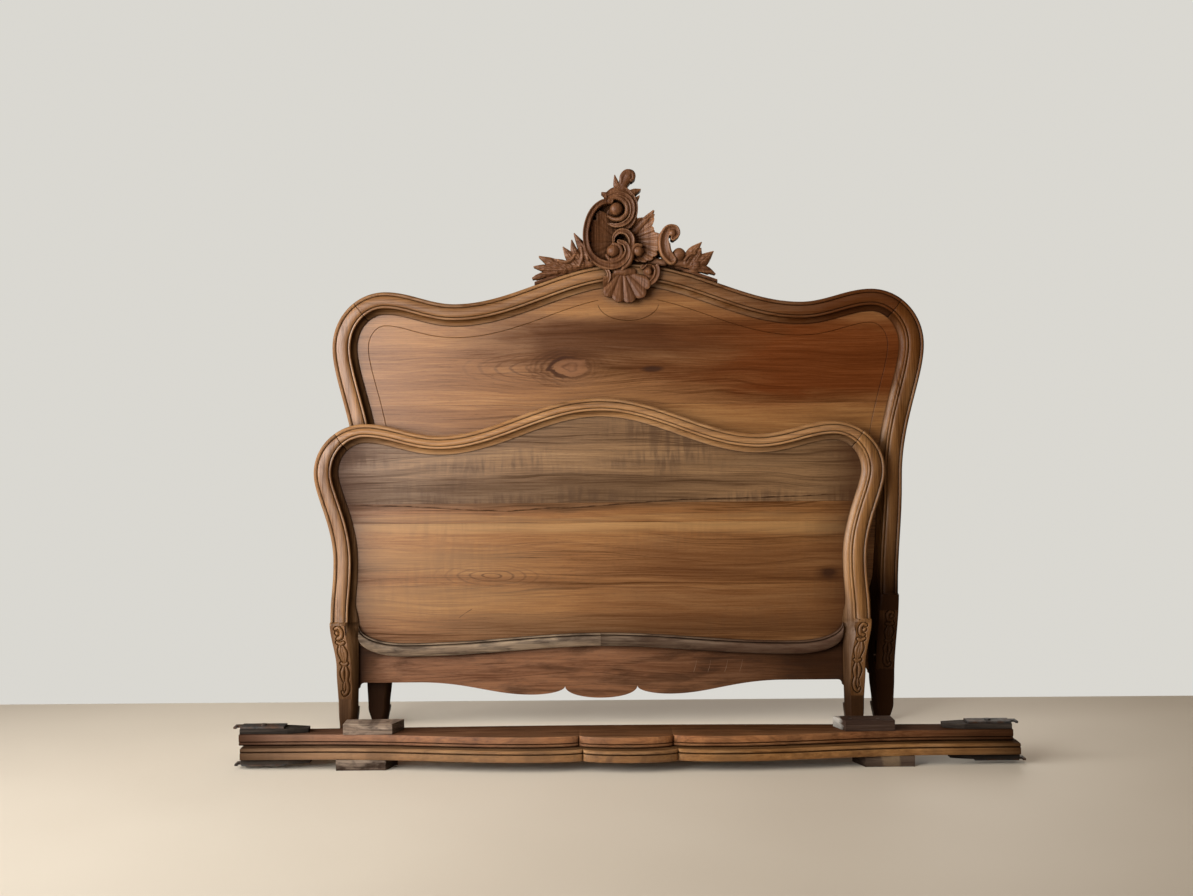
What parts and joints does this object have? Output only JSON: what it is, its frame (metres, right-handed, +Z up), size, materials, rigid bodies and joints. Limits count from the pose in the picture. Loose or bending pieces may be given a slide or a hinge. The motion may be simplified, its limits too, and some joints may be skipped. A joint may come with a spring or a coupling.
{
  "type": "double bed",
  "caption": "Period walnut double bed taken apart: carved headboard, footboard leaning on it, and side rails stacked flat on the floor in front.",
  "frame": {"origin": "middle of the bounding box on the floor", "axes": "+Z up, +X along the side rails and across the boards, the boards' fronts face -Y"},
  "size_m": [1.984, 0.642, 1.5874],
  "materials": {
    "frame_walnut": "waxed satin",
    "panel_walnut": "waxed satin",
    "carved_walnut": "waxed, worn",
    "pale_wood": "worn",
    "raw_wood": "unfinished",
    "dark_wood": "stained, rough",
    "iron": "aged"
  },
  "bodies": {
    "headboard": {"headboard_post_left": "frame_walnut", "headboard_post_right": "frame_walnut", "headboard_top_rail": "frame_walnut", "headboard_bottom_rail": "frame_walnut", "headboard_plank_1": "panel_walnut", "headboard_plank_2": "panel_walnut", "headboard_plank_3": "panel_walnut", "headboard_plank_4": "panel_walnut", "crest_cartouche": "carved_walnut", "crest_spray_left": "carved_walnut", "crest_spray_right": "carved_walnut", "crest_pendant": "carved_walnut", "crest_dowel_left": "raw_wood", "crest_dowel_right": "raw_wood", "headboard_shoulder_tenon_left": "raw_wood", "headboard_shoulder_tenon_right": "raw_wood", "headboard_hook_pin_left": "iron", "headboard_hook_pin_right": "iron"},
    "footboard": {"footboard_post_left": "frame_walnut", "footboard_post_right": "frame_walnut", "footboard_top_rail": "frame_walnut", "footboard_apron": "frame_walnut", "footboard_lower_moulding": "pale_wood", "footboard_plank_1": "panel_walnut", "footboard_plank_2": "panel_walnut", "footboard_plank_3": "panel_walnut", "footboard_plank_4": "panel_walnut", "footboard_shoulder_tenon_left": "raw_wood", "footboard_shoulder_tenon_right": "raw_wood", "footboard_hook_pin_left": "iron", "footboard_hook_pin_right": "iron"},
    "lower_rail": {"lower_rail_board": "frame_walnut", "lower_rail_cleat_left": "raw_wood", "lower_rail_cleat_right": "raw_wood", "lower_rail_cleat_screw_left_1": "iron", "lower_rail_cleat_screw_left_2": "iron", "lower_rail_cleat_screw_right_1": "iron", "lower_rail_cleat_screw_right_2": "iron", "lower_rail_end_block_left": "dark_wood", "lower_rail_end_block_right": "dark_wood", "lower_rail_hook_left": "iron", "lower_rail_hook_right": "iron", "lower_rail_bolt_left": "iron", "lower_rail_bolt_right": "iron"},
    "upper_rail": {"upper_rail_board": "frame_walnut", "upper_rail_cleat_left": "raw_wood", "upper_rail_cleat_right": "raw_wood", "upper_rail_cleat_screw_left_1": "iron", "upper_rail_cleat_screw_left_2": "iron", "upper_rail_cleat_screw_right_1": "iron", "upper_rail_cleat_screw_right_2": "iron", "upper_rail_end_block_left": "dark_wood", "upper_rail_end_block_right": "dark_wood", "upper_rail_hook_left": "iron", "upper_rail_hook_right": "iron", "upper_rail_bolt_left": "iron", "upper_rail_bolt_right": "iron"}
  },
  "joints": [
    {"name": "footboard_draw_forward", "type": "slide", "parent": "headboard", "child": "footboard", "axis": [0, -1, 0], "range_m": [0, 0.3]},
    {"name": "rails_draw_forward", "type": "slide", "parent": "headboard", "child": "lower_rail", "axis": [0, -1, 0], "range_m": [0, 0.4]},
    {"name": "upper_rail_lift", "type": "slide", "parent": "lower_rail", "child": "upper_rail", "axis": [0, 0, 1], "range_m": [0, 0.3]}
  ]
}
